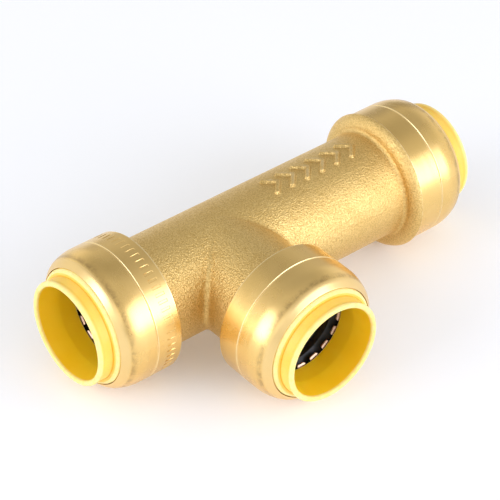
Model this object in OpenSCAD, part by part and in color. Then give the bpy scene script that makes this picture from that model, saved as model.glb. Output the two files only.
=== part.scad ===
// Push-to-connect slip tee for 3/4 inch copper-size tube (22.2 mm outside diameter).
// The run lies along X: its fixed end points to -X and its long slip end to +X.
// The branch points to -Y. The origin is where the three tube centrelines cross.
// Each end holds the same cartridge: O-ring, protector, grip ring, spacer and release
// collar, kept in by an end cap. Stack positions are distances outwards from the rear
// edge of the end cap.

/* [Layout] */
// Centre to the rear edge of the fixed run end's cap
run_cap_at = 24; // [23:0.5:30]
// Centre to the rear edge of the branch cap
branch_cap_at = 23; // [22.5:0.5:30]
// Centre to the rear edge of the slip end's cap
slip_cap_at = 52.1; // [46:0.1:60]
// How deep the tube goes into the run and branch ends, from the collar's lip
insertion_depth = 28.6; // [26:0.1:28.8]
// Centre to the shoulder at the bottom of the long slip bore
slip_stop_at = 14; // [12:0.5:20]

/* [Tube] */
// Bore that guides the tube
socket_d = 22.5; // [22.3:0.05:22.6]
// Waterway through the middle of the body
waterway_d = 18; // [16:0.5:19]

/* [Body] */
// Outside diameter of the cast run and branch
tube_od = 27.76; // [27.2:0.02:27.84]
// Diameter of the spigots that the end caps close over
spigot_d = 31.8; // [31.6:0.1:31.8]
// Diameter of the cast flange behind the slip end's cap
flange_d = 36; // [35.6:0.1:38]
// Thickness of that flange
flange_t = 2.2; // [1.8:0.1:3]

/* [End cap] */
// Outside diameter of the end caps
cap_d = 35; // [34.6:0.1:36]
// Length of the end caps
cap_len = 15.8; // [15.6:0.1:16.2]
// Rear edge to the groove turned round the run and slip caps
cap_groove_at = 7; // [3:0.25:9]
// Rear edge to the groove turned round the branch cap
branch_groove_at = 6.3; // [3:0.1:9]
// Depth of that groove
cap_groove_depth = 0.3; // [0.2:0.05:0.6]
// Axial length of the rounded front shoulder
shoulder_len = 6.2; // [3:0.1:6.4]
// Diameter of the recess in the cap's mouth
mouth_d = 29.64; // [29.6:0.02:30]
// Width of the flat rim left round that recess
mouth_rim = 0.1; // [0.05:0.05:1.5]

/* [Release collar] */
// Bore of the collar at its inner end
collar_bore_d = 22.6; // [22.5:0.05:22.7]
// Opening of the funnel at the collar's lip
collar_mouth_d = 23.76; // [23.4:0.02:24]
// Outside diameter of the flared lip
collar_lip_d = 26.52; // [26.4:0.02:26.8]
// Diameter of the bead that sits in the cap's mouth
collar_bead_d = 29.4; // [28.8:0.1:29.4]
// How far the lip stands out from the cap's front
collar_out = 4.65; // [4.4:0.05:5]

/* [Grip ring] */
// Number of teeth
tooth_count = 18; // [12:1:20]
// Width of the slots between the teeth
slot_w = 1.6; // [1.2:0.1:1.8]
// Diameter inside the tips of the teeth, with a tube in
tooth_tip_d = 22; // [22:0.05:22.2]

/* [Hidden] */
$fn = 96;

// Radii
socket_r = socket_d / 2;
waterway_r = waterway_d / 2;
tube_r = tube_od / 2;
spigot_r = spigot_d / 2;
flange_r = flange_d / 2;
cap_r = cap_d / 2;
mouth_r = mouth_d / 2;
neck_gap = 0.1;         // radial gap between the body and the cap's rolled rear edge
cap_bore_r = spigot_r + 0.05;
rolled_r = tube_r + neck_gap + 0.02;
ring_r = cap_bore_r - 0.1;      // outside of the protector, grip ring and spacer
seal_bore_r = 14.2;     // counterbore that the O-ring seals against
guide_r = 14.3;         // inside of the protector's wall and of the grip ring's rim
collar_r = collar_bore_d / 2;
stem_r = 12.2;          // collar's stem, through the cap's inner lip
catch_r = 13.2;         // collar's catch, behind the cap's inner lip
sleeve_r = 13.15;       // collar's sleeve where it leaves the bead
waist_r = 12.95;        // collar's sleeve at its narrowest, under the flared lip

// Stack of the cartridge, outwards from the rear edge of the cap
rolled_t = 0.8;         // rolled rear edge of the cap
spigot_at = 0.85;       // spigot's shoulder, which the rolled edge hooks behind
seal_at = 2.2;          // bottom of the O-ring's counterbore, outer end of the guide bore
seal_z = 3.8;           // middle of the O-ring
protector_at = 5.4;
spigot_end = 6.5;
ring_at = 10.1;         // grip ring's rim
ring_t = 0.5;
spacer_at = 10.65;
spacer_end = 12.25;
lip_at = 12.3;          // cap's inner lip
lip_end = 13;
catch_at = 11.65;
catch_end = 12.2;
bead_at = 14.9;
bead_end = 16.7;
nose_at = 9.95;         // collar's inner end
collar_end = cap_len + collar_out;

// Grip ring's teeth: a cone that leans in towards the tube stop
tooth_tip_r = tooth_tip_d / 2;
tooth_lean = 1.1;       // axial lean from root to tip
slot_root_r = 13.5;

// O-ring section
o_ring_r = 1.55;
o_ring_mid_r = seal_bore_r - 0.05 - o_ring_r;

run_stop_at = run_cap_at + collar_end - insertion_depth;
branch_stop_at = branch_cap_at + collar_end - insertion_depth;

brass = "#c9a75c";
cast_brass = "#b89a58";
collar_yellow = "#f0c545";
spring_steel = "#c9b8a6";
black_plastic = "#1b1a18";
black_rubber = "#101010";

// Points along an elliptical arc, centre (r, z), from angle a to angle b
function arc(r, z, rx, rz, a, b, n) = [
    for (i = [0 : n]) let (t = a + (b - a) * i / n) [r + rx * cos(t), z + rz * sin(t)]
];

// A turned ring from its half section, points as [radius, distance outwards]
module turned(points) {
    rotate_extrude() polygon(points);
}

// A plain ring
module ring(r_in, r_out, from, to) {
    turned([[r_in, from], [r_out, from], [r_out, to], [r_in, to]]);
}

// Places a socket's pieces at the three ends, with +Z pointing out of the mouth
module at_run() {
    rotate([0, -90, 0]) translate([0, 0, run_cap_at]) children();
}
module at_branch() {
    rotate([90, 0, 0]) translate([0, 0, branch_cap_at]) children();
}
module at_slip() {
    rotate([0, 90, 0]) translate([0, 0, slip_cap_at]) children();
}

// Cast barrel from the centre to the shoulder of its spigot, then the spigot
module barrel(cap_at) {
    cylinder(h = cap_at + spigot_at + 0.01, r = tube_r);
    translate([0, 0, cap_at + spigot_at]) cylinder(h = spigot_end - spigot_at, r = spigot_r);
}

// Bores of one end: waterway from the centre, guide bore from the stop, seal counterbore
module bores(cap_at, stop_at) {
    cylinder(h = stop_at + 1, r = waterway_r);
    translate([0, 0, stop_at]) cylinder(h = cap_at + seal_at - stop_at + 0.5, r = socket_r);
    translate([0, 0, cap_at + seal_at]) cylinder(h = spigot_end, r = seal_bore_r);
}

// Cast flange behind the slip end's cap: a fillet on the barrel, then one broad
// round out to the cap's edge, cut off by the flange's front a little before its crest
module slip_flange() {
    fillet = 1.1;
    foot_r = tube_r + fillet;
    crest = 12;
    round_z = flange_t / (1 - sin(crest));
    round_r = (flange_r - foot_r) / cos(crest);
    translate([0, 0, slip_cap_at])
        turned(concat(
            [[waterway_r + 1, 0], [waterway_r + 1, -flange_t - fillet]],
            arc(foot_r, -flange_t - fillet, fillet, fillet, 180, 90, 3),
            arc(foot_r, round_z - flange_t, round_r, round_z, -80, -crest, 7)
        ));
}

module tee_body() {
    color(cast_brass)
    difference() {
        union() {
            rotate([0, -90, 0]) barrel(run_cap_at);
            rotate([90, 0, 0]) barrel(branch_cap_at);
            rotate([0, 90, 0]) {
                barrel(slip_cap_at);
                slip_flange();
            }
        }
        rotate([0, -90, 0]) bores(run_cap_at, run_stop_at);
        rotate([90, 0, 0]) bores(branch_cap_at, branch_stop_at);
        rotate([0, 90, 0]) bores(slip_cap_at, slip_stop_at);
    }
}

// Turned brass cap: rolled rear edge, groove, rounded shoulder, mouth recess, inner lip
module end_cap(groove_at = cap_groove_at) {
    chamfer = 0.3;
    half = 0.2;
    rim_r = mouth_r + mouth_rim;
    slope = 2 * atan((cap_r - rim_r) / shoulder_len);
    round_r = shoulder_len / sin(slope);
    color(brass)
    turned(concat(
        [[rolled_r, 0], [cap_r - chamfer, 0], [cap_r, chamfer]],
        [[cap_r, groove_at - half], [cap_r - cap_groove_depth, groove_at]],
        [[cap_r, groove_at + half]],
        arc(cap_r - round_r, cap_len - shoulder_len, round_r, round_r, 0, slope, 8),
        [[mouth_r, cap_len], [mouth_r, lip_end], [stem_r + 0.25, lip_end]],
        [[stem_r + 0.25, lip_at], [cap_bore_r, lip_at], [cap_bore_r, rolled_t], [rolled_r, rolled_t]]
    ));
}

// Plastic collar: nose that opens the teeth, catch, stem, bead, sleeve and flared funnel
module release_collar() {
    bead_r = collar_bead_d / 2;
    bead_crest = bead_at + 0.4;
    lip_r = collar_lip_d / 2;
    mouth = collar_mouth_d / 2;
    lip_mid = (lip_r + mouth) / 2;
    lip_half = (lip_r - mouth) / 2;
    lip_round = 0.6;
    color(collar_yellow)
    turned(concat(
        [[collar_r, nose_at], [collar_r + 0.2, nose_at], [stem_r, nose_at + 0.7]],
        [[stem_r, catch_at], [catch_r, catch_at], [catch_r, catch_end], [stem_r, catch_end]],
        [[stem_r, bead_at], [bead_r - 0.2, bead_at]],
        arc(sleeve_r, bead_crest, bead_r - sleeve_r, bead_end - bead_crest, 0, 80, 6),
        [[sleeve_r, bead_end], [waist_r, collar_end - 1.6]],
        arc(lip_mid, collar_end - lip_round, lip_half, lip_round, 0, 180, 10),
        [[collar_r, collar_end - 6]]
    ));
}

// Spring steel ring with teeth cut by round-ended slots
module grip_ring() {
    color(spring_steel)
    difference() {
        turned([
            [ring_r, ring_at], [ring_r, ring_at + ring_t], [guide_r, ring_at + ring_t],
            [tooth_tip_r, ring_at + ring_t - tooth_lean], [tooth_tip_r, ring_at - tooth_lean],
            [guide_r, ring_at]
        ]);
        for (i = [0 : tooth_count - 1])
            rotate([0, 0, i * 360 / tooth_count])
                translate([0, 0, ring_at - 2]) {
                    translate([10, -slot_w / 2, 0]) cube([slot_root_r - 10, slot_w, 4]);
                    translate([slot_root_r, 0, 0]) cylinder(h = 4, r = slot_w / 2, $fn = 32);
                }
    }
}

module grip_ring_spacer() {
    color(black_plastic) ring(guide_r + 0.05, ring_r, spacer_at, spacer_end);
}

// Plastic ring that backs the O-ring, with a hollow that the teeth bend into
module o_ring_protector() {
    nose_r = seal_bore_r - 0.05;
    inner_r = socket_r + 0.2;
    hollow_at = 7;
    hollow_end = 9.3;
    color(black_plastic)
    turned([
        [inner_r, protector_at], [nose_r, protector_at], [nose_r, spigot_end + 0.05],
        [ring_r, spigot_end + 0.05], [ring_r, ring_at - 0.05], [guide_r, ring_at - 0.05],
        [guide_r, hollow_end], [inner_r, hollow_at]
    ]);
}

module o_ring() {
    color(black_rubber)
    rotate_extrude() translate([o_ring_mid_r, seal_z]) circle(r = o_ring_r, $fn = 48);
}

tee_body();

at_run() end_cap();  // run_end_cap
at_run() release_collar();  // run_release_collar
at_run() grip_ring_spacer();  // run_grip_ring_spacer
at_run() grip_ring();  // run_grip_ring
at_run() o_ring_protector();  // run_o_ring_protector
at_run() o_ring();  // run_o_ring

at_branch() end_cap(branch_groove_at);  // branch_end_cap
at_branch() release_collar();  // branch_release_collar
at_branch() grip_ring_spacer();  // branch_grip_ring_spacer
at_branch() grip_ring();  // branch_grip_ring
at_branch() o_ring_protector();  // branch_o_ring_protector
at_branch() o_ring();  // branch_o_ring

at_slip() end_cap();  // slip_end_cap
at_slip() release_collar();  // slip_release_collar
at_slip() grip_ring_spacer();  // slip_grip_ring_spacer
at_slip() grip_ring();  // slip_grip_ring
at_slip() o_ring_protector();  // slip_o_ring_protector
at_slip() o_ring();  // slip_o_ring
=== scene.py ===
"""Looks of a push-to-connect slip tee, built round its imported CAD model.

Every socket piece is turned from a profile of (radius, distance out from the cap's rear
edge) in millimetres and placed by its socket's matrix, whose local +Z points out of the
mouth. The cast body is one closed skin: a blended crossing with an end added at each mouth.
"""

import math

import bmesh
import bpy
import numpy as np
from mathutils import Matrix, Vector


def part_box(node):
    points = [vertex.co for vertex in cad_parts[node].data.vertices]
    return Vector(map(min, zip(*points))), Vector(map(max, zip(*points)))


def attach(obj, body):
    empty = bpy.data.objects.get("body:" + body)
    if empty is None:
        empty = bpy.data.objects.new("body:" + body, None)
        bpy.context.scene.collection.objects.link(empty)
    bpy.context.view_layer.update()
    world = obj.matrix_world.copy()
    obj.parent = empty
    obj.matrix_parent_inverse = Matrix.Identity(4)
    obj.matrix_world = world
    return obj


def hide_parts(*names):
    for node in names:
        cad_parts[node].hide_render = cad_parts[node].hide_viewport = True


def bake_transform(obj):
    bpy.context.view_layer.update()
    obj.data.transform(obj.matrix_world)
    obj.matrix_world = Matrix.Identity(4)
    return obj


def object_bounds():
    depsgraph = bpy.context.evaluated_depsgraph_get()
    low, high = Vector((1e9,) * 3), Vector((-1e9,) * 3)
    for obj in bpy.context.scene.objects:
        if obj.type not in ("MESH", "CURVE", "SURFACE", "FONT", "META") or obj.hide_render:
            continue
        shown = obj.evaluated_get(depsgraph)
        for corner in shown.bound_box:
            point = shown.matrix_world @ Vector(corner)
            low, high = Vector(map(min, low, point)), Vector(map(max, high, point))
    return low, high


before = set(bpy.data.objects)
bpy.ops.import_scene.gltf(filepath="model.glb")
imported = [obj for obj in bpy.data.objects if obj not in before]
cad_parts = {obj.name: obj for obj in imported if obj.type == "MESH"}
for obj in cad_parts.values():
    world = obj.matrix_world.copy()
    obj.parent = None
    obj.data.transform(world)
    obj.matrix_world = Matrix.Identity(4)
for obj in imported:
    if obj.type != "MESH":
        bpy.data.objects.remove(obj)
cad_low, cad_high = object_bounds()

MM = 0.001

# Which way each mouth faces, and where its socket's local X and Y axes lie
AXES = {
    "run": ((0, 0, 1), (0, 1, 0), (-1, 0, 0)),
    "branch": ((1, 0, 0), (0, 0, 1), (0, -1, 0)),
    "slip": ((0, 0, -1), (0, 1, 0), (1, 0, 0)),
}
ENDS = tuple(AXES)


def reach(end, node):
    """Nearest and furthest distance of a node from the centre, outwards along an end, in mm."""
    out = Vector(AXES[end][2])
    spans = [corner.dot(out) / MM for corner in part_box(f"{end}_{node}")]
    return min(spans), max(spans)


def half_width(node):
    """Radius in mm of a round node, from its box."""
    low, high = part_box(node)
    return max(high - low) / MM / 2


# Sizes that the CAD boxes give, in mm
CAP_AT = {end: reach(end, "end_cap")[0] for end in ENDS}
CAP_LEN = reach("run", "end_cap")[1] - CAP_AT["run"]
CAP_R = half_width("run_end_cap")
COLLAR_END = reach("run", "release_collar")[1] - CAP_AT["run"]
COLLAR_IN = reach("run", "release_collar")[0] - CAP_AT["run"]
BEAD_R = half_width("run_release_collar")
RING_R = half_width("run_grip_ring")
RING_END = reach("run", "grip_ring")[1] - CAP_AT["run"]
TIP_IN = reach("run", "grip_ring")[0] - CAP_AT["run"]
SPACER_SPAN = [d - CAP_AT["run"] for d in reach("run", "grip_ring_spacer")]
PROTECTOR_SPAN = [d - CAP_AT["run"] for d in reach("run", "o_ring_protector")]
O_RING_SPAN = [d - CAP_AT["run"] for d in reach("run", "o_ring")]
O_RING_OUT_R = half_width("run_o_ring")
FLANGE_R = (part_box("tee_body")[1].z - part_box("tee_body")[0].z) / MM / 2

# Sizes inside those boxes, the same as in the CAD model, in mm
TUBE_R = 13.88              # outside of the cast run and branch
SPIGOT_R = 15.9
SPIGOT_AT = 0.85
SPIGOT_END = 6.5
SEAL_R = 14.2
SEAL_AT = 2.2
SOCKET_R = 11.25
WATERWAY_R = 9.0
STOP_AT = {"run": 15.85, "branch": 14.85, "slip": 14.0}
FLANGE_T = 2.2
FLANGE_FILLET = 1.1         # where the slip barrel meets its flange
FLANGE_CREST = 12           # slope in degrees of the flange's crowned back at its rim
ROLLED_R = 14.0
ROLLED_T = 0.8
CAP_BORE_R = 15.95
MOUTH_R = 14.82
INNER_LIP = (12.3, 13.0)
INNER_LIP_R = 12.45
SHOULDER_AT = 9.39          # where the cap's skin starts to bend inwards
SHOULDER_R = 11.5
BEND_R = 3.5
BEND = (22, 46)             # slopes of the skin where its tighter bend starts and ends
GROOVE_AT = {"run": 7.0, "branch": 6.3, "slip": 7.0}
GROOVE_HALF = 0.2
GROOVE_DEPTH = 0.3
COLLAR_R = 11.3             # the collar's bore
NOSE_T = 0.2                # thickness of its nose at the tip, and length of the nose's taper
NOSE_LEN = 0.7
STEM_R = 12.2
CATCH_R = 13.2
CATCH = (11.65, 12.2)
BEAD = (14.9, 15.3, 16.7)   # its rear face, its crest and where it meets the sleeve
SLEEVE_R = 13.15
WAIST_R = 12.95
WAIST_DEPTH = 1.6           # depths behind the lip's outermost point
LIP_DEPTH = 0.6
BEVEL_DEPTH = 0.9
FUNNEL_DEPTH = 6
COLLAR_LIP_R = 13.26
COLLAR_MOUTH_R = 11.88
GUIDE_R = 14.3              # inside of the rim, spacer and protector
RING_T = 0.5
TIP_R = 11.0
TOOTH_COUNT = 18
TOOTH_CORNER = 0.3
SLOT_R = 0.8
SLOT_ROOT_R = 13.5
PROTECTOR_BORE = (7, 9.3)   # where its bore starts to widen and is full width
SMALL_GAP = 0.05            # between a moulded piece and what it sits in or on

SHARP = math.radians(38)    # edges bent more than this are shaded sharp


# ---- profiles -------------------------------------------------------------------------

def arc(r, s, radius_r, radius_s, start, end, steps, edge=0.0):
    """Points along an elliptical arc, angles in degrees, as (r, s, rounding, edge)."""
    turns = [math.radians(start + (end - start) * i / steps) for i in range(steps + 1)]
    return [(r + radius_r * math.cos(t), s + radius_s * math.sin(t), 0, edge) for t in turns]


def rounded(points, closed=True, step=18):
    """A profile with each corner rounded by its third value. Gives (r, s, edge) rows, where
    edge is the point's fourth value, or 1 on a tight outer corner, -1 in a tight inner one, and
    0 just past either. The profile runs anticlockwise."""
    rows, count = [], len(points)
    fade, tight = 0.15, 0.5
    widest = 0.4            # share of a side that a corner may take
    for i, point in enumerate(points):
        here, size = np.array(point[:2], float), point[2]
        if not size or (not closed and i in (0, count - 1)):
            rows.append((*here, point[3] if len(point) > 3 else 0.0))
            continue
        before = np.array(points[i - 1][:2], float) - here
        after = np.array(points[(i + 1) % count][:2], float) - here
        before_len, after_len = np.linalg.norm(before), np.linalg.norm(after)
        before, after = before / before_len, after / after_len
        inside = math.acos(max(-1.0, min(1.0, float(before @ after))))
        tangent = min(size / math.tan(inside / 2), widest * before_len, widest * after_len)
        centre = here + (before + after) / np.linalg.norm(before + after) * (
            tangent / math.cos(inside / 2))
        start, end = here + before * tangent - centre, here + after * tangent - centre
        a = math.atan2(start[1], start[0])
        sweep = math.remainder(math.atan2(end[1], end[0]) - a, math.tau)
        steps = max(2, math.ceil(abs(math.degrees(sweep)) / step))
        radius = np.linalg.norm(start)
        turn = before[1] * after[0] - before[0] * after[1]
        edge = math.copysign(1.0, turn) if size < tight else 0.0
        if len(point) > 3:
            edge = point[3]
        if before_len > 3 * (tangent + fade):
            rows.append((*(here + before * (tangent + fade)), 0.0))
        for k in range(steps + 1):
            t = a + sweep * k / steps
            rows.append((centre[0] + radius * math.cos(t), centre[1] + radius * math.sin(t), edge))
        if after_len > 3 * (tangent + fade):
            rows.append((*(here + after * (tangent + fade)), 0.0))
    return rows


# ---- meshes ---------------------------------------------------------------------------

TURNED_STEPS = 224


def new_object(name, verts, faces, edge=None):
    """A smooth-shaded object from arrays of points in metres and faces, with its edge values."""
    mesh = bpy.data.meshes.new(name)
    mesh.from_pydata(np.asarray(verts).tolist(), [], np.asarray(faces).tolist())
    mesh.update()
    if edge is not None:
        layer = mesh.attributes.new("edge", "FLOAT", "POINT")
        layer.data.foreach_set("value", np.asarray(edge, np.float32))
    mesh.shade_smooth()
    mesh.set_sharp_from_angle(angle=SHARP)
    piece = bpy.data.objects.new(name, mesh)
    bpy.context.scene.collection.objects.link(piece)
    return piece


def grid_faces(rows, columns, row_closed, column_closed):
    """Quads of a grid of rows by columns, each way open or closed on itself."""
    i = np.arange(rows if row_closed else rows - 1)
    j = np.arange(columns if column_closed else columns - 1)
    i, j = (a.ravel() for a in np.meshgrid(i, j, indexing="ij"))
    up, on = (i + 1) % rows, (j + 1) % columns
    return np.stack([i * columns + j, i * columns + on, up * columns + on, up * columns + j], 1)


def turned(name, rows, angles=None, shape=None):
    """A closed ring turned from profile rows. shape(r, s, angles) may change the radii."""
    if angles is None:
        angles = np.arange(TURNED_STEPS) * math.tau / TURNED_STEPS
    rows = np.array(rows, float)
    r, s = np.repeat(rows[:, :1], len(angles), 1), np.repeat(rows[:, 1:2], len(angles), 1)
    if shape:
        r = shape(r, s, angles)
    verts = np.stack([r * np.cos(angles), r * np.sin(angles), s], 2).reshape(-1, 3) * MM
    # rows run anticlockwise in (r, s), so this order turns the faces outwards
    faces = grid_faces(len(rows), len(angles), True, True)
    return new_object(name, verts, faces, np.repeat(rows[:, 2], len(angles)))


def socket_matrix(end):
    x, y, z = (Vector(a) for a in AXES[end])
    turn = Matrix((x, y, z)).transposed().to_4x4()
    return Matrix.Translation(z * CAP_AT[end] * MM) @ turn


def place(piece, end, body, node, material):
    """Puts a socket's piece in its socket, on its body, in place of its CAD node."""
    piece.matrix_world = socket_matrix(end)
    piece.data.materials.append(material)
    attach(piece, body)
    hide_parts(node)


# ---- materials ------------------------------------------------------------------------

class Paint:
    """A procedural material: one Principled shader, and short calls that add nodes to it.
    Noise scales are per metre, and bump depths are in metres."""

    def __init__(self, name, **plain):
        self.material = bpy.data.materials.new(name)
        self.material.use_nodes = True
        self.tree = self.material.node_tree
        self.shader = self.tree.nodes["Principled BSDF"]
        for socket, value in plain.items():
            self.shader.inputs[socket.replace("_", " ")].default_value = value
        self.where = self.node("ShaderNodeTexCoord").outputs["Object"]

    def node(self, kind, inputs=(), **settings):
        made = self.tree.nodes.new(kind)
        for key, value in settings.items():
            setattr(made, key, value)
        for key, value in dict(inputs).items():
            if isinstance(value, bpy.types.NodeSocket):
                self.tree.links.new(value, made.inputs[key])
            else:
                made.inputs[key].default_value = value
        return made

    def noise(self, scale, detail=3.0, roughness=0.5, at=None):
        made = self.node("ShaderNodeTexNoise", {
            "Vector": at or self.where, "Scale": scale, "Detail": detail, "Roughness": roughness})
        return made.outputs["Fac"]

    def cells(self, scale):
        made = self.node("ShaderNodeTexVoronoi", {"Vector": self.where, "Scale": scale})
        return made.outputs["Distance"]

    def spread(self, value, low, high, to_low=0.0, to_high=1.0):
        made = self.node("ShaderNodeMapRange", {
            "Value": value, "From Min": low, "From Max": high,
            "To Min": to_low, "To Max": to_high}, interpolation_type="SMOOTHSTEP")
        return made.outputs["Result"]

    def maths(self, operation, a, b):
        made = self.node("ShaderNodeMath", {0: a, 1: b}, operation=operation)
        return made.outputs[0]

    def mixed(self, share, a, b):
        made = self.node("ShaderNodeMix", {0: share, 6: a, 7: b}, data_type="RGBA")
        return made.outputs[2]

    def attribute(self, name):
        return self.node("ShaderNodeAttribute", attribute_name=name).outputs["Fac"]

    def along(self):
        """Radius and distance along the axis of a turned piece."""
        split = self.node("ShaderNodeSeparateXYZ", {0: self.where})
        flat = self.node("ShaderNodeCombineXYZ", {0: split.outputs[0], 1: split.outputs[1]})
        radius = self.node("ShaderNodeVectorMath", {0: flat.outputs[0]}, operation="LENGTH")
        return radius.outputs["Value"], split.outputs[2]

    def turning(self, stretch):
        """Coordinates that change along a turned profile and not round it."""
        radius, axial = self.along()
        joined = self.node("ShaderNodeCombineXYZ", {0: radius, 2: axial})
        round_it = self.node("ShaderNodeVectorMath", {
            0: self.where, 1: (stretch, stretch, stretch)}, operation="MULTIPLY")
        return self.node("ShaderNodeVectorMath", {
            0: joined.outputs[0], 1: round_it.outputs[0]}, operation="ADD").outputs[0]

    def edges(self, low, high, least=0.0):
        """Shares of outer corners painted lighter, as rubbed metal and as a painted highlight,
        broken up by a noise, and of inner corners darkened as painted shade.
        """
        edge = self.attribute("edge")
        patchy = self.spread(self.noise(600), low, high, least, 1.0)
        return (self.maths("MULTIPLY", self.spread(edge, 0, 1), patchy),
                self.spread(edge, 0, -1))

    def bump(self, *layers):
        """Bumps, each a (height, depth in metres) pair, one on another."""
        normal = None
        for height, depth in layers:
            inputs = {"Height": height, "Distance": depth, "Strength": 1.0}
            if normal:
                inputs["Normal"] = normal
            normal = self.node("ShaderNodeBump", inputs).outputs["Normal"]
        self.use("Normal", normal)

    def use(self, socket, value):
        self.tree.links.new(value, self.shader.inputs[socket])


def cast_brass():
    """Blasted cast brass: fine grain, shallow pits, slow changes of tone, bright rubbed edges, and
    inner corners darkened as painted shade.
    """
    p = Paint("cast_brass", Metallic=1.0)
    grain = p.noise(2900, 2.0, 0.6)
    pits = p.cells(1900)
    slow = p.noise(130, 3.0)
    tone = p.mixed(p.spread(slow, 0.35, 0.65), (0.74, 0.49, 0.155, 1), (0.81, 0.55, 0.185, 1))
    speck = p.mixed(p.spread(grain, 0.36, 0.64), (0.54, 0.35, 0.105, 1), (0.98, 0.72, 0.31, 1))
    base = p.mixed(0.45, tone, speck)
    wear_and_highlight, corner_shade = p.edges(0.35, 0.6)
    # painted shade: inner corners and the feet of the raised marks are darkened
    base = p.mixed(p.maths("MULTIPLY", corner_shade, 0.6), base, (0.42, 0.28, 0.09, 1))
    p.use("Base Color", p.mixed(wear_and_highlight, base, (0.9, 0.69, 0.36, 1)))
    p.use("Roughness", p.spread(p.maths("ADD", p.maths("MULTIPLY", grain, 0.6),
                                        p.maths("MULTIPLY", slow, 0.4)), 0.35, 0.65, 0.47, 0.34))
    p.bump((slow, 0.00003), (pits, 0.00008), (grain, 0.00022))
    return p.material


# Distances out from a cap's rear edge, in metres: where the pale band round its mouth, a painted
# reflection, starts and is full, and where the dark line beside it, a painted dark reflection in
# the crease with a brownish tarnish, starts, peaks and ends
REFLECTION_BAND = (0.0136, 0.0146)
DARK_CREASE_LINE = (0.0122, 0.0136, 0.0142)


def turned_brass():
    """Satin turned brass: fine lines round the piece, faint handling marks, edges painted bright
    as rubbed metal and as painted highlights, a painted reflection and a painted dark reflection
    round the mouth, and inner corners darkened as painted shade.
    """
    p = Paint("turned_brass", Metallic=1.0)
    lines = p.noise(9000, 2.0, 0.7, p.turning(0.004))
    broad = p.noise(420, 2.0, 0.5, p.turning(0.15))
    haze = p.noise(90, 4.0, 0.6)
    tone = p.mixed(p.spread(haze, 0.35, 0.7), (0.84, 0.56, 0.19, 1), (0.88, 0.60, 0.22, 1))
    tone = p.mixed(p.spread(lines, 0.3, 0.7, 0.0, 0.12), tone, (0.91, 0.64, 0.25, 1))
    wear_and_highlight, corner_shade = p.edges(0.25, 0.45, 0.4)
    # the pale band round the mouth is a painted reflection, and the dark line beside it is a
    # painted dark reflection in the crease, with a brownish tarnish
    out = p.along()[1]
    closed = p.spread(out, *REFLECTION_BAND)
    patchy = p.spread(p.noise(420, 4.0, 0.75), 0.38, 0.6, 0.25, 1.0)
    start, peak, end = DARK_CREASE_LINE
    beside = p.maths("MULTIPLY", p.spread(out, start, peak), p.spread(out, end, peak))
    tone = p.mixed(p.maths("MULTIPLY", closed, 0.35), tone, (0.95, 0.74, 0.38, 1))
    tone = p.mixed(p.maths("MULTIPLY", p.maths("MULTIPLY", beside, patchy), 0.85), tone,
                   (0.52, 0.345, 0.13, 1))
    # painted shade: inner corners are darkened
    tone = p.mixed(p.maths("MULTIPLY", corner_shade, 0.7), tone, (0.42, 0.27, 0.09, 1))
    # edges painted lighter, as rubbed metal and as painted highlights
    p.use("Base Color", p.mixed(wear_and_highlight, tone, (0.95, 0.74, 0.38, 1)))
    p.use("Roughness", p.maths("ADD", p.spread(haze, 0.3, 0.7, 0.23, 0.31),
                               p.maths("MULTIPLY", closed, 0.05)))
    p.bump((broad, 0.00003), (lines, 0.000001))
    return p.material


def bored_brass():
    """Machined bores: a fine grain, and stains from the blasting and the cutting oil."""
    p = Paint("bored_brass", Metallic=1.0)
    stain = p.noise(220, 4.0, 0.6)
    fine = p.noise(2600, 2.0)
    p.use("Base Color", p.mixed(p.spread(stain, 0.35, 0.7), (0.66, 0.46, 0.19, 1),
                                (0.78, 0.57, 0.27, 1)))
    p.use("Roughness", p.spread(stain, 0.3, 0.7, 0.26, 0.38))
    p.bump((fine, 0.00002),)
    return p.material


def collar_plastic():
    """Moulded yellow acetal, slightly translucent, satin, with paler edges, partly scuffs and
    partly painted highlights, and inner corners darkened as painted shade.
    """
    p = Paint("collar_plastic", Subsurface_Weight=0.35, Subsurface_Scale=0.0015,
              Subsurface_Radius=(1.0, 0.6, 0.15), IOR=1.48, Specular_IOR_Level=0.35)
    slow = p.noise(160, 3.0)
    fine = p.noise(5200, 2.0)
    deep = p.mixed(p.spread(slow, 0.35, 0.65), (0.95, 0.59, 0.011, 1), (0.97, 0.62, 0.018, 1))
    pale = p.mixed(p.spread(slow, 0.35, 0.65), (0.95, 0.61, 0.09, 1), (0.97, 0.64, 0.115, 1))
    # painted light and shade: the funnel is painted a deeper, shaded yellow than the sleeve, whose
    # paler yellow stands for light shining through it
    funnel_r, sleeve_r = 0.0119, 0.0129
    base = p.mixed(p.spread(p.along()[0], funnel_r, sleeve_r), deep, pale)
    wear_and_highlight, corner_shade = p.edges(0.3, 0.6, 0.7)
    # painted shade: inner corners and the bead's rear edge are darkened
    base = p.mixed(p.maths("MULTIPLY", corner_shade, 0.8), base, (0.84, 0.44, 0.008, 1))
    # painted highlights: the lip, the bead's crest and small edges are painted paler
    p.use("Base Color", p.mixed(p.maths("MULTIPLY", wear_and_highlight, 0.75), base, (0.99, 0.82, 0.36, 1)))
    p.use("Roughness", p.spread(slow, 0.3, 0.7, 0.36, 0.46))
    p.bump((slow, 0.000008), (fine, 0.000004))
    return p.material


def spring_steel():
    """Rolled stainless spring strip, with a warm tone painted into its colour: a painted
    reflection of the brass round it.
    """
    p = Paint("spring_steel", Metallic=1.0)
    rolled = p.noise(2400, 3.0, 0.6)
    p.use("Base Color", p.mixed(p.spread(rolled, 0.35, 0.65), (0.54, 0.35, 0.23, 1),
                                (0.68, 0.47, 0.33, 1)))
    p.use("Roughness", p.spread(rolled, 0.3, 0.7, 0.34, 0.46))
    p.bump((rolled, 0.000008),)
    return p.material


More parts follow.
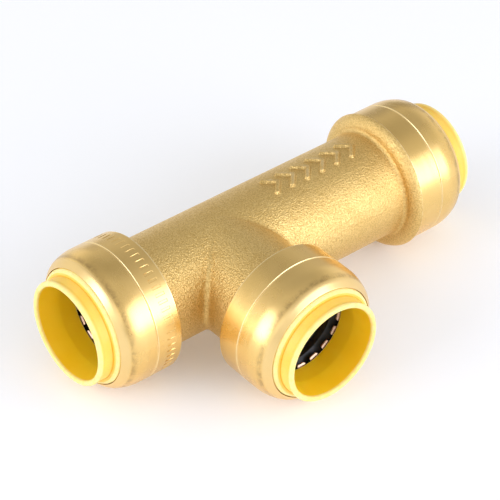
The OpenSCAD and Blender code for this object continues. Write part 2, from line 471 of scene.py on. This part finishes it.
def black_plastic():
    """Moulded black plastic with a fine even texture."""
    p = Paint("black_plastic")
    cloud = p.noise(300, 3.0)
    p.use("Base Color", p.mixed(p.spread(cloud, 0.3, 0.7), (0.010, 0.009, 0.008, 1),
                                (0.020, 0.019, 0.017, 1)))
    p.use("Roughness", p.spread(cloud, 0.3, 0.7, 0.38, 0.52))
    p.bump((p.noise(4000, 2.0), 0.00001),)
    return p.material


def black_rubber():
    """Greased rubber: deep black, patches of sheen where the grease lies."""
    p = Paint("black_rubber")
    grease = p.noise(420, 3.0)
    p.use("Base Color", p.mixed(p.spread(grease, 0.3, 0.7), (0.006, 0.006, 0.006, 1),
                                (0.014, 0.014, 0.014, 1)))
    p.use("Roughness", p.spread(grease, 0.35, 0.65, 0.25, 0.55))
    p.bump((p.noise(2500, 2.0), 0.00001),)
    return p.material


# ---- cast body ------------------------------------------------------------------------

QUARTER_STEPS = 60
CROSSING_EDGE = 16.4        # how far the blended crossing's outer skin reaches, in mm
WATERWAY_EDGE = 12.0        # and its waterway
# Radius, reach, fillet, columns of faces each side, and whether it is inside
CROSSINGS = (
    (TUBE_R, CROSSING_EDGE, 1.4, 30, False),
    (WATERWAY_R, WATERWAY_EDGE, 0.5, 14, True),
)


def quarter_angles():
    """Angles from the side of a barrel (0) to its top (90 degrees), closer near the top,
    where the raised marks need them."""
    t = np.arange(QUARTER_STEPS + 1) / QUARTER_STEPS
    return math.pi / 2 * (t + 0.5 * np.sin(math.pi * t) / math.pi)


def crossing(radius, edge_at, fillet, columns):
    """Grids of points, in mm, of a round run along X crossed by an equal branch along -Y, out
    to edge_at from the centre each way, with a blended corner that fades out at the top."""
    angle = quarter_angles()[:, None]
    side, height = radius * np.cos(angle), radius * np.sin(angle)
    share = np.linspace(0, 1, columns + 1)[None, :]
    x = -(side + (edge_at - side) * share)
    points = np.stack([x, np.repeat(-side, columns + 1, 1), np.repeat(height, columns + 1, 1)], 2)
    # a smooth union this wide gives about the fillet asked for at the side
    blend = 1.17 * fillet * (1 - (points[..., 2] / radius) ** 2) + 1e-6

    def distance(p):
        along_run = np.hypot(p[..., 1], p[..., 2]) - radius
        along_branch = np.hypot(p[..., 0], p[..., 2]) - radius
        h = np.clip(0.5 - 0.5 * (along_run - along_branch) / blend, 0, 1)
        return along_branch * (1 - h) + along_run * h - blend * h * (1 - h)

    # moves each point along the slope until it lies on the blended surface
    step = 1e-4
    for _ in range(6):
        here = distance(points)
        slope = np.stack([(distance(points + step * np.eye(3)[k]) - here) / step
                          for k in range(3)], 2)
        points = points - slope * (here / np.maximum((slope ** 2).sum(2), 1e-6))[..., None]
    points[0, :, 2] = 0
    points[-1, :, 1] = 0
    points[-1, 0, 0] = 0

    grids = []
    for flip_x in (1, -1):
        for flip_z in (1, -1):
            grids.append(points * (flip_x, 1, flip_z))
            grids.append(points[..., (1, 0, 2)] * (flip_x, 1, flip_z))
    # the back of the run, opposite the branch
    top_x = np.sort(np.concatenate([points[-1, :, 0], -points[-1, 1:, 0]]))
    back = np.concatenate([quarter_angles()[::-1], -quarter_angles()[1:]])
    grids.append(np.stack([
        np.repeat(top_x[None, :], len(back), 0),
        np.repeat(radius * np.cos(back)[:, None], len(top_x), 1),
        np.repeat(radius * np.sin(back)[:, None], len(top_x), 1)], 2))
    return grids


def ring_angles():
    """Every angle round a barrel that the crossing's edge has, from its side and back."""
    quarter = quarter_angles()
    half = np.concatenate([quarter, math.pi - quarter[-2::-1]])
    return np.concatenate([half, math.tau - half[-2:0:-1]])


def flange(at):
    """Profile of the slip end's flange, from its foot on the barrel, with a crowned back."""
    crest = math.radians(FLANGE_CREST)
    foot_r, foot_s = TUBE_R + FLANGE_FILLET, at - FLANGE_T
    round_r, round_s = (FLANGE_R - foot_r) / math.cos(crest), FLANGE_T / (1 - math.sin(crest))
    return [
        *arc(foot_r, foot_s - FLANGE_FILLET, FLANGE_FILLET, FLANGE_FILLET, 180, 90, 8),
        *arc(foot_r, at + round_s - FLANGE_T, round_r, round_s, -86, -FLANGE_CREST, 20)[:-1],
        (FLANGE_R, at, 0.12), (TUBE_R, at, 0.1)]


def end_rows(end):
    """Profile of one end of the body, from the crossing's outer edge round to its inner one,
    as (r, distance from the centre, edge)."""
    at = CAP_AT[end]
    rows = rounded([(TUBE_R, CROSSING_EDGE, 0)] + (flange(at) if end == "slip" else []) + [
        (TUBE_R, at + SPIGOT_AT, 0.1), (SPIGOT_R, at + SPIGOT_AT, 0.25),
        (SPIGOT_R, at + SPIGOT_END, 0.3), (SEAL_R, at + SPIGOT_END, 0.25),
        (SEAL_R, at + SEAL_AT, 0.15), (SOCKET_R, at + SEAL_AT, 0.3),
        (SOCKET_R, STOP_AT[end], 0.15), (WATERWAY_R, STOP_AT[end], 0.3),
        (WATERWAY_R, WATERWAY_EDGE, 0)], closed=False, step=30)
    if end == "slip":
        rows[1:1] = [(TUBE_R, d, 0.0) for d in MARK_ROWS]
    return np.array(rows)


# Raised arrows on the slip barrel, in mm
MARK_STARTS = 17.3 + 4.8 * np.arange(6)     # rear tip of each arrow, along the run
MARK_LEN = 2.6
MARK_ACROSS = 0.6                           # middle of the row of arrows, towards the back
MARK_HALF = 2.8
MARK_HEIGHT = 0.6
MARK_TOP = 0.42                             # half width of an arm's flat top
MARK_SIDE = 0.34                            # how far its side slopes out from there
MARK_ROWS = np.arange(MARK_STARTS[0] - 0.8, MARK_STARTS[-1] + 3.7, 0.3)


def raised_marks(x, across):
    """Height of the raised arrows, which show which end slips, at points of the slip barrel
    given by distance along the run and distance round it from the top line."""
    height = np.zeros_like(x)
    for start in MARK_STARTS:
        for side in (-1, 1):
            tail = np.array([start, MARK_ACROSS + side * MARK_HALF])
            head = np.array([start + MARK_LEN, MARK_ACROSS])
            line = head - tail
            t = np.clip(((x - tail[0]) * line[0] + (across - tail[1]) * line[1])
                        / (line @ line), 0, 1)
            gap = np.hypot(x - tail[0] - t * line[0], across - tail[1] - t * line[1])
            t = np.clip((gap - MARK_TOP) / MARK_SIDE, 0, 1)
            height = np.maximum(height, MARK_HEIGHT * (1 - t * t * (3 - 2 * t)))
    return height


def end_skin(end):
    """One end of the body: its points in mm, its quads, each point's edge value, and whether each
    quad is inside."""
    angles, table = ring_angles(), end_rows(end)
    r = np.repeat(table[:, :1], len(angles), 1)
    out = np.repeat(table[:, 1:2], len(angles), 1)
    wear_and_shade = np.repeat(table[:, 2:3], len(angles), 1)
    side, up = np.cos(angles)[None, :], np.sin(angles)[None, :]
    if end == "slip":
        across = TUBE_R * (np.pi / 2 - angles)[None, :] * -1
        on_barrel = (table[:, 0] == TUBE_R) & (table[:, 1] <= MARK_ROWS[-1])
        height = raised_marks(out, np.repeat(across, len(table), 0)) * on_barrel[:, None]
        r = r + height
        # lighter rubbed tops, and painted shade at their feet
        wear_and_shade = wear_and_shade + np.where(height > 0.8 * MARK_HEIGHT, 0.5,
                               np.where(height > 0.01, -1.0, 0.0))
    points = np.zeros((len(table), len(angles), 3))
    if end == "branch":
        points[..., 0] = r * side
        points[..., 1] = -out
    else:
        points[..., 0] = AXES[end][2][0] * out
        points[..., 1] = -r * side
    points[..., 2] = r * up
    inside = np.repeat(np.arange(len(table) - 1) >= np.argmax(table[:, 1]), len(angles))
    return points.reshape(-1, 3), grid_faces(*r.shape, False, True), wear_and_shade.ravel(), inside


def tee_body(cast, bored):
    """The whole cast body: the crossing's outer skin, its waterway and the three ends."""
    skins = []
    for radius, edge_at, fillet, columns, bore in CROSSINGS:
        for grid in crossing(radius, edge_at, fillet, columns):
            points = grid.reshape(-1, 3)
            quads = grid_faces(*grid.shape[:2], False, False)
            skins.append((points, quads, np.zeros(len(points)), np.full(len(quads), bore)))
    skins += [end_skin(end) for end in ENDS]

    points, quads, edges, inside = zip(*skins)
    starts = np.cumsum([0] + [len(p) for p in points[:-1]])
    piece = new_object("tee_body_cast", np.concatenate(points) * MM,
                       np.concatenate([q + first for q, first in zip(quads, starts)]),
                       np.concatenate(edges))
    mesh = piece.data
    mesh.materials.append(cast)
    mesh.materials.append(bored)
    mesh.polygons.foreach_set("material_index", np.concatenate(inside).astype(np.int32))
    weld(mesh)
    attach(piece, "housing")
    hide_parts("tee_body")


def weld(mesh):
    """Joins the grids' shared edges and turns every face outwards."""
    made = bmesh.new()
    made.from_mesh(mesh)
    bmesh.ops.remove_doubles(made, verts=made.verts, dist=0.002 * MM)
    bmesh.ops.recalc_face_normals(made, faces=made.faces)
    made.to_mesh(mesh)
    made.free()
    mesh.shade_smooth()
    mesh.set_sharp_from_angle(angle=SHARP)


# ---- socket pieces --------------------------------------------------------------------

TICK_COUNT = 60
TICK_HALF = 0.28
TICK_DEPTH = 0.12
TICK_SPAN = (1.9, 4.2)
TICK_WALL = 0.1             # slope of a tick's ends, along the cap in mm
TICK_TURN = 0.005           # and of its sides, round the cap in radians


def cap_rows(end):
    """Profile of an end cap, anticlockwise from its rolled rear edge."""
    groove = GROOVE_AT[end]
    lip_in, lip_out = INNER_LIP
    points = [(ROLLED_R, 0, 0.15), (CAP_R, 0, 0.3)]
    if end == "run":
        first, last = TICK_SPAN
        points += [(CAP_R, s, 0) for s in (first - TICK_WALL, first, last, last + TICK_WALL)]
    # the groove's floor and edges are painted lighter: a painted highlight along the groove line
    points += [
        (CAP_R, groove - GROOVE_HALF, 0.06), (CAP_R - GROOVE_DEPTH, groove, 0.08, 0.2),
        (CAP_R, groove + GROOVE_HALF, 0.06)]
    # a long bend, then a tighter one that ends in the cone round the mouth
    centre = np.array([CAP_R - SHOULDER_R, SHOULDER_AT])
    points += arc(*centre, SHOULDER_R, SHOULDER_R, 0, BEND[0], 22)
    meet = math.radians(BEND[0])
    centre += (SHOULDER_R - BEND_R) * np.array([math.cos(meet), math.sin(meet)])
    points += arc(*centre, BEND_R, BEND_R, *BEND, 12)[1:]
    points += [
        (MOUTH_R + 0.1, CAP_LEN, 0.15, 0.3), (MOUTH_R, CAP_LEN, 0.03),
        (MOUTH_R, lip_out, 0.1), (INNER_LIP_R, lip_out, 0.1),
        (INNER_LIP_R, lip_in, 0.1), (CAP_BORE_R, lip_in, 0.1), (CAP_BORE_R, ROLLED_T, 0.1),
        (ROLLED_R, ROLLED_T, 0.15)]
    return rounded(points)


def tick_angles():
    """Angles with a step down and a step up at each tick, and even ones between."""
    pitch, half = math.tau / TICK_COUNT, TICK_HALF / CAP_R
    steps = [-half - TICK_TURN, -half, half, half + TICK_TURN]
    between = np.linspace(half + TICK_TURN, pitch - half - TICK_TURN, 4)[1:-1]
    one = np.concatenate([steps, between])
    return np.concatenate([one + i * pitch for i in range(TICK_COUNT)])


def cut_ticks(r, s, angles):
    """Cuts the row of ticks that stands for the marking round the run cap."""
    pitch, (first, last) = math.tau / TICK_COUNT, TICK_SPAN
    off = np.abs(np.remainder(angles + pitch / 2, pitch) - pitch / 2)
    columns = off < TICK_HALF / CAP_R + 1e-4
    rows = (s > first - 1e-6) & (s < last + 1e-6) & (r > CAP_R - 1e-6)
    return r - TICK_DEPTH * (rows & columns[None, :])


def end_cap(end, material):
    ticks = (tick_angles(), cut_ticks) if end == "run" else ()
    piece = turned(f"{end}_cap_turned", cap_rows(end), *ticks)
    place(piece, end, "housing", f"{end}_end_cap", material)


def release_collar(end, material):
    """Nose, catch that holds it behind the cap's inner lip, bead, sleeve and funnel."""
    bead_in, crest, bead_out = BEAD
    lip_mid, lip_half = (COLLAR_LIP_R + COLLAR_MOUTH_R) / 2, (COLLAR_LIP_R - COLLAR_MOUTH_R) / 2
    points = [
        (COLLAR_R, COLLAR_IN, 0.05), (COLLAR_R + NOSE_T, COLLAR_IN, 0.1),
        (STEM_R, COLLAR_IN + NOSE_LEN, 0.1), (STEM_R, CATCH[0], 0.05), (CATCH_R, CATCH[0], 0.1),
        (CATCH_R, CATCH[1], 0.1), (STEM_R, CATCH[1], 0.05), (STEM_R, bead_in, 0.1),
        (BEAD_R, bead_in, 0.18)]
    # painted shade along the bead's rear edge, beside the cap, and a painted highlight over its
    # crest
    bead_r, bead_s = BEAD_R - SLEEVE_R, bead_out - crest
    for start, stop, steps, edge in ((0, 12, 2, -0.6), (20, 60, 8, 1), (68, 80, 2, 0)):
        points += arc(SLEEVE_R, crest, bead_r, bead_s, start, stop, steps, edge)
    points += [(SLEEVE_R, bead_out, 0.15), (WAIST_R, COLLAR_END - WAIST_DEPTH, 0.8)]
    # the lip is painted paler all round: a painted highlight
    points += arc(lip_mid, COLLAR_END - LIP_DEPTH, lip_half, LIP_DEPTH, 0, 180, 18, edge=1.0)
    points += [(COLLAR_MOUTH_R - 0.03, COLLAR_END - BEVEL_DEPTH, 0),
               (COLLAR_R, COLLAR_END - FUNNEL_DEPTH, 1.5)]
    piece = turned(f"{end}_collar_moulded", rounded(points))
    place(piece, end, f"{end}_collar", f"{end}_release_collar", material)


def grip_rim(end, material):
    """The flat rim that the teeth grow from."""
    ring_in = RING_END - RING_T
    rows = rounded([(GUIDE_R, ring_in, 0.04), (RING_R, ring_in, 0.1),
                    (RING_R, RING_END, 0.1), (GUIDE_R, RING_END, 0.04)])
    piece = turned(f"{end}_grip_ring_rim", rows)
    place(piece, end, f"{end}_grip", f"{end}_grip_ring", material)


def tooth_outline(steps=16):
    """Radii from root to tip, with the tooth's half width at each, in mm."""
    half_pitch = math.pi / TOOTH_COUNT
    radii = GUIDE_R - (GUIDE_R - TIP_R) * np.linspace(0, 1, steps + 1) ** 0.8
    slot = np.where(radii < SLOT_ROOT_R, SLOT_R,
                    np.sqrt(np.clip(SLOT_R ** 2 - (radii - SLOT_ROOT_R) ** 2, 0, None)))
    width = radii * math.sin(half_pitch) - slot
    left = np.clip((radii - TIP_R) / TOOTH_CORNER, 0, 1)
    return radii, width - TOOTH_CORNER * (1 - np.sqrt(1 - (1 - left) ** 2))


def grip_tooth(end, number, material):
    """One tooth of the grip ring, baked into its place in its socket."""
    middle = (number + 0.5) * math.tau / TOOTH_COUNT
    radii, width = tooth_outline()
    count, wide = len(radii), 9
    size = count * wide
    root_s = RING_END - RING_T
    lean = (root_s - TIP_IN) / (GUIDE_R - TIP_R)
    s_in = root_s - (GUIDE_R - radii) * lean
    turn = middle + np.linspace(-1, 1, wide)[None, :] * (width / radii)[:, None]
    x, y = radii[:, None] * np.cos(turn), radii[:, None] * np.sin(turn)
    # thinner over the last half millimetre
    thin = RING_T * np.clip(1 - 0.35 * np.clip(1 - (radii - TIP_R) / 0.5, 0, 1), 0, 1)
    near = np.stack([x, y, np.repeat(s_in[:, None], wide, 1)], 2)
    far = near + np.stack([0 * x, 0 * x, np.repeat(thin[:, None], wide, 1)], 2)
    verts = np.concatenate([near.reshape(-1, 3), far.reshape(-1, 3)]) * MM
    faces = grid_faces(count, wide, False, False)
    loop = ([j for j in range(wide)] + [i * wide + wide - 1 for i in range(1, count)]
            + [(count - 1) * wide + j for j in range(wide - 2, -1, -1)]
            + [i * wide for i in range(count - 2, 0, -1)])
    walls = [[a, b, b + size, a + size] for a, b in zip(loop, loop[1:] + loop[:1])]
    quads = np.concatenate([faces[:, ::-1], faces + size, np.array(walls)])
    wear_and_highlight = np.repeat(radii < TIP_R + 0.4, wide).tolist() * 2
    piece = new_object(f"{end}_grip_tooth_{number + 1:02d}", verts, quads, wear_and_highlight)
    piece.data.materials.append(material)

    place_in = socket_matrix(end)
    piece.matrix_world = place_in
    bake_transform(piece)
    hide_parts(f"{end}_grip_ring")


def spacer(end, material):
    """A plain ring that holds the grip ring's rim."""
    low, high = SPACER_SPAN
    inner = GUIDE_R + SMALL_GAP
    rows = rounded([(inner, low, 0.1), (RING_R, low, 0.15), (RING_R, high, 0.15),
                    (inner, high, 0.1)])
    piece = turned(f"{end}_spacer_moulded", rows)
    place(piece, end, "housing", f"{end}_grip_ring_spacer", material)


def protector(end, material):
    """A sleeve between O-ring and grip ring, stepped over the spigot, open behind the teeth."""
    low, high = PROTECTOR_SPAN
    nose_r, inner_r, step = SEAL_R - SMALL_GAP, SOCKET_R + 0.2, SPIGOT_END + SMALL_GAP
    narrow, wide = PROTECTOR_BORE
    rows = rounded([
        (inner_r, low, 0.15), (nose_r, low, 0.15), (nose_r, step, 0.05), (RING_R, step, 0.15),
        (RING_R, high, 0.12), (GUIDE_R, high, 0.1), (GUIDE_R, wide, 0.1),
        (inner_r, narrow, 0.3)])
    piece = turned(f"{end}_protector_moulded", rows)
    place(piece, end, "housing", f"{end}_o_ring_protector", material)


def o_ring(end, material):
    low, high = O_RING_SPAN
    radius = (high - low) / 2
    rows = arc(O_RING_OUT_R - radius, (low + high) / 2, radius, radius, 0, 360, 36)[:-1]
    piece = turned(f"{end}_o_ring_moulded", rows)
    place(piece, end, "housing", f"{end}_o_ring", material)


# ---- stage ----------------------------------------------------------------------------

def floor():
    """A plain pale floor that the object lies on."""
    paint = Paint("pale_floor", Roughness=0.6, Emission_Color=(1, 1, 1, 1),
                  Emission_Strength=0.10)
    paint.use("Base Color", paint.mixed(paint.noise(3.0), (0.90, 0.90, 0.89, 1),
                                        (0.94, 0.94, 0.94, 1)))
    half, low = 4.0, cad_low.z
    corners = [(-half, -half, low), (half, -half, low), (half, half, low), (-half, half, low)]
    piece = new_object("floor", corners, [[0, 1, 2, 3]])
    piece.data.materials.append(paint.material)


def towards(azimuth, elevation):
    """A unit vector from the object at angles in degrees. Azimuth 0 is in front, along -Y."""
    a, e = math.radians(azimuth), math.radians(elevation)
    return Vector((math.sin(a) * math.cos(e), -math.cos(a) * math.cos(e), math.sin(e)))


BOX_ELEVATION = 22
BOX_DISTANCE = 0.6

# Brightness that changes with the angle from a direction: the direction, the cosine where the
# change starts and where it is full, and the brightness added at each
WORLD_PARTS = (
    ((0, 0, 1), 0.20, 0.85, 1.03, 0.70),                # pale all round, dimmer overhead
    (towards(-28, 0), 0.88, 0.99, 0.0, -0.32),          # dark gap between the two bright sides
    (towards(140, 52), 0.70, 0.97, 0.0, -0.22),         # dimmer behind, high and low
    (towards(138, 5), 0.91, 0.99, 0.0, -0.55),
    (towards(26, 12), 0.90, 0.985, 0.0, 1.1),           # broad right-hand highlight
    (towards(-46, 30), 0.92, 0.985, 0.0, 0.35),         # faint one near the camera
    (towards(4, 16), 0.94, 0.99, 0.0, 0.3),             # faint one in front
    (towards(-98, 4), 0.82, 0.985, 0.0, 1.15),          # broad left-hand highlight
)


def softbox(name, azimuth, width, height, power, colour):
    """A plain rectangular light that faces the object."""
    back = towards(azimuth, BOX_ELEVATION)
    light = bpy.data.lights.new(name, "AREA")
    light.shape, light.size, light.size_y = "RECTANGLE", width, height
    light.energy, light.color = power, colour
    lamp = bpy.data.objects.new(name, light)
    lamp.location = (cad_low + cad_high) / 2 + back * BOX_DISTANCE
    lamp.rotation_mode = "QUATERNION"
    lamp.rotation_quaternion = (-back).to_track_quat("-Z", "Y")
    bpy.context.scene.collection.objects.link(lamp)


def lights():
    """A soft studio: a bright world with brighter and darker parts, and two softboxes."""
    world = bpy.data.worlds.new("studio")
    world.use_nodes = True
    bpy.context.scene.world = world
    tree = world.node_tree
    background = tree.nodes["Background"]
    background.inputs["Color"].default_value = (0.99, 0.995, 1.0, 1)

    where = tree.nodes.new("ShaderNodeTexCoord").outputs["Generated"]
    total = None
    for direction, start, full, low, high in WORLD_PARTS:
        cosine = tree.nodes.new("ShaderNodeVectorMath")
        cosine.operation = "DOT_PRODUCT"
        tree.links.new(where, cosine.inputs[0])
        cosine.inputs[1].default_value = direction
        ramp = tree.nodes.new("ShaderNodeMapRange")
        ramp.interpolation_type = "SMOOTHSTEP"
        tree.links.new(cosine.outputs["Value"], ramp.inputs["Value"])
        for key, value in zip(("From Min", "From Max", "To Min", "To Max"),
                              (start, full, low, high)):
            ramp.inputs[key].default_value = value
        value = ramp.outputs["Result"]
        if total:
            adding = tree.nodes.new("ShaderNodeMath")
            tree.links.new(total, adding.inputs[0])
            tree.links.new(value, adding.inputs[1])
            value = adding.outputs[0]
        total = value
    tree.links.new(total, background.inputs["Strength"])
    softbox("right_box", 20, 0.52, 0.43, 1.55, (0.93, 0.99, 1.3))
    softbox("left_box", -98, 0.34, 0.42, 1.05, (0.92, 0.99, 1.3))
    bpy.context.scene.view_settings.view_transform = "Standard"


def camera():
    """The camera at the photograph's angle: 41 degrees to the left, 39 degrees above."""
    back, roll = towards(-41.1, 38.775), math.radians(1.874)
    # how far it stands from the centre of the crossing, and how far to its right and up it aims
    distance, aim_right, aim_up = 0.5268, 0.00845, 0.00238
    level = (-back).cross(Vector((0, 0, 1))).normalized()
    up = back.cross(level)
    right = math.cos(roll) * level + math.sin(roll) * up
    up = math.cos(roll) * up - math.sin(roll) * level
    eye = back * distance + right * aim_right + up * aim_up
    data = bpy.data.cameras.new("camera")
    data.lens, data.sensor_width = 157.1, 36.0
    data.clip_start, data.clip_end = 0.05, 20.0
    piece = bpy.data.objects.new("camera", data)
    turn = Matrix((right, up, back)).transposed().to_4x4()
    piece.matrix_world = Matrix.Translation(eye) @ turn
    bpy.context.scene.collection.objects.link(piece)
    bpy.context.scene.camera = piece


def build():
    camera()
    lights()
    floor()
    brass, yellow, steel = turned_brass(), collar_plastic(), spring_steel()
    black, rubber = black_plastic(), black_rubber()
    tee_body(cast_brass(), bored_brass())
    for end in ENDS:
        end_cap(end, brass)
        release_collar(end, yellow)
        grip_rim(end, steel)
        for number in range(TOOTH_COUNT):
            grip_tooth(end, number, steel)
        spacer(end, black)
        protector(end, black)
        o_ring(end, rubber)


build()
